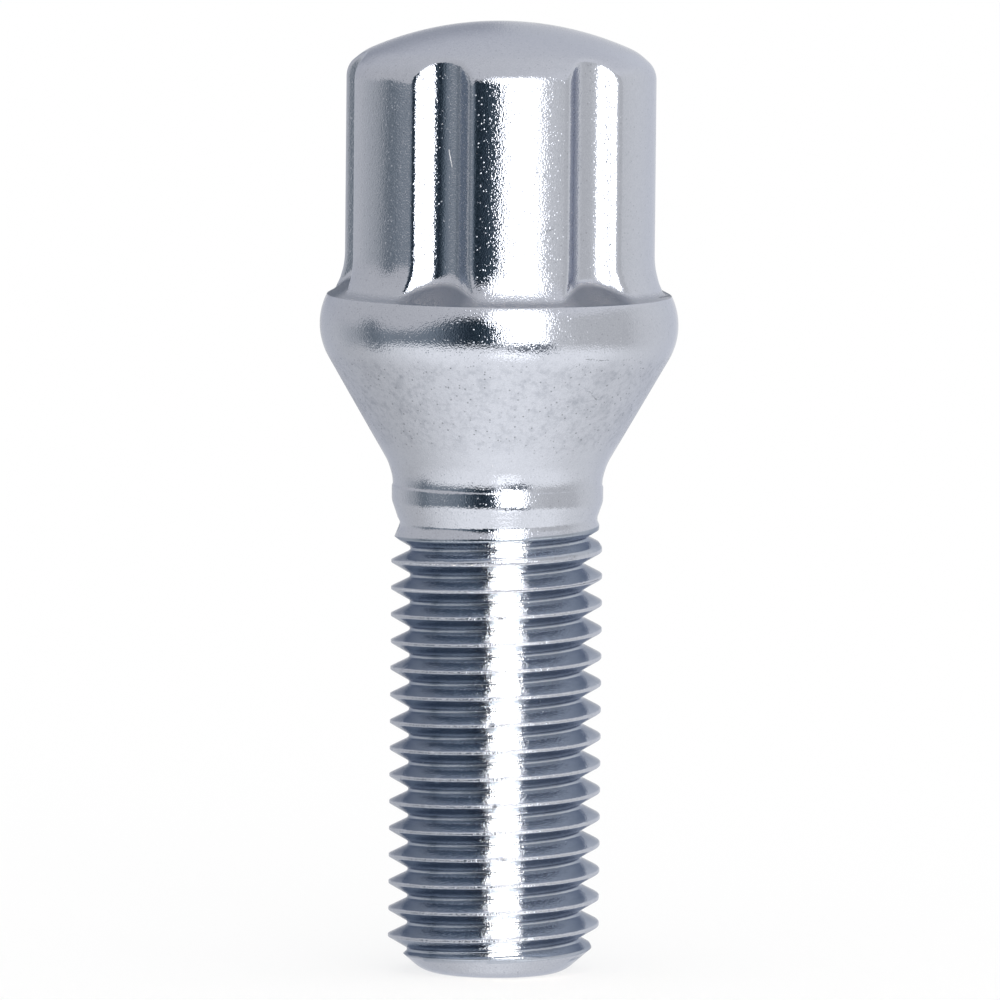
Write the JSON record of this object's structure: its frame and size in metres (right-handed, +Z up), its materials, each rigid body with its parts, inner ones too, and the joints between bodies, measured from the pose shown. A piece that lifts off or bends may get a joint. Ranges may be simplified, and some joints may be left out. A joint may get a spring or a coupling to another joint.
{
  "type": "wheel bolt",
  "caption": "Chrome-plated wheel bolt with a domed fluted head turned by a spline key, a rounded collar, a conical seat and a fine right-hand thread with a chamfered end.",
  "frame": {"origin": "centre of the flat end face, where the bolt stands", "axes": "+Z up along the bolt's axis from the threaded end to the crown of the head, +X through the land next to the first flute, which is 7.5 degrees round from +X"},
  "size_m": [0.02, 0.02, 0.0532],
  "materials": {
    "chrome": "bright plated, a little grainy, with fine pits and nicks along the thread"
  },
  "bodies": {
    "root": {"wheel_bolt": "chrome"}
  },
  "joints": []
}
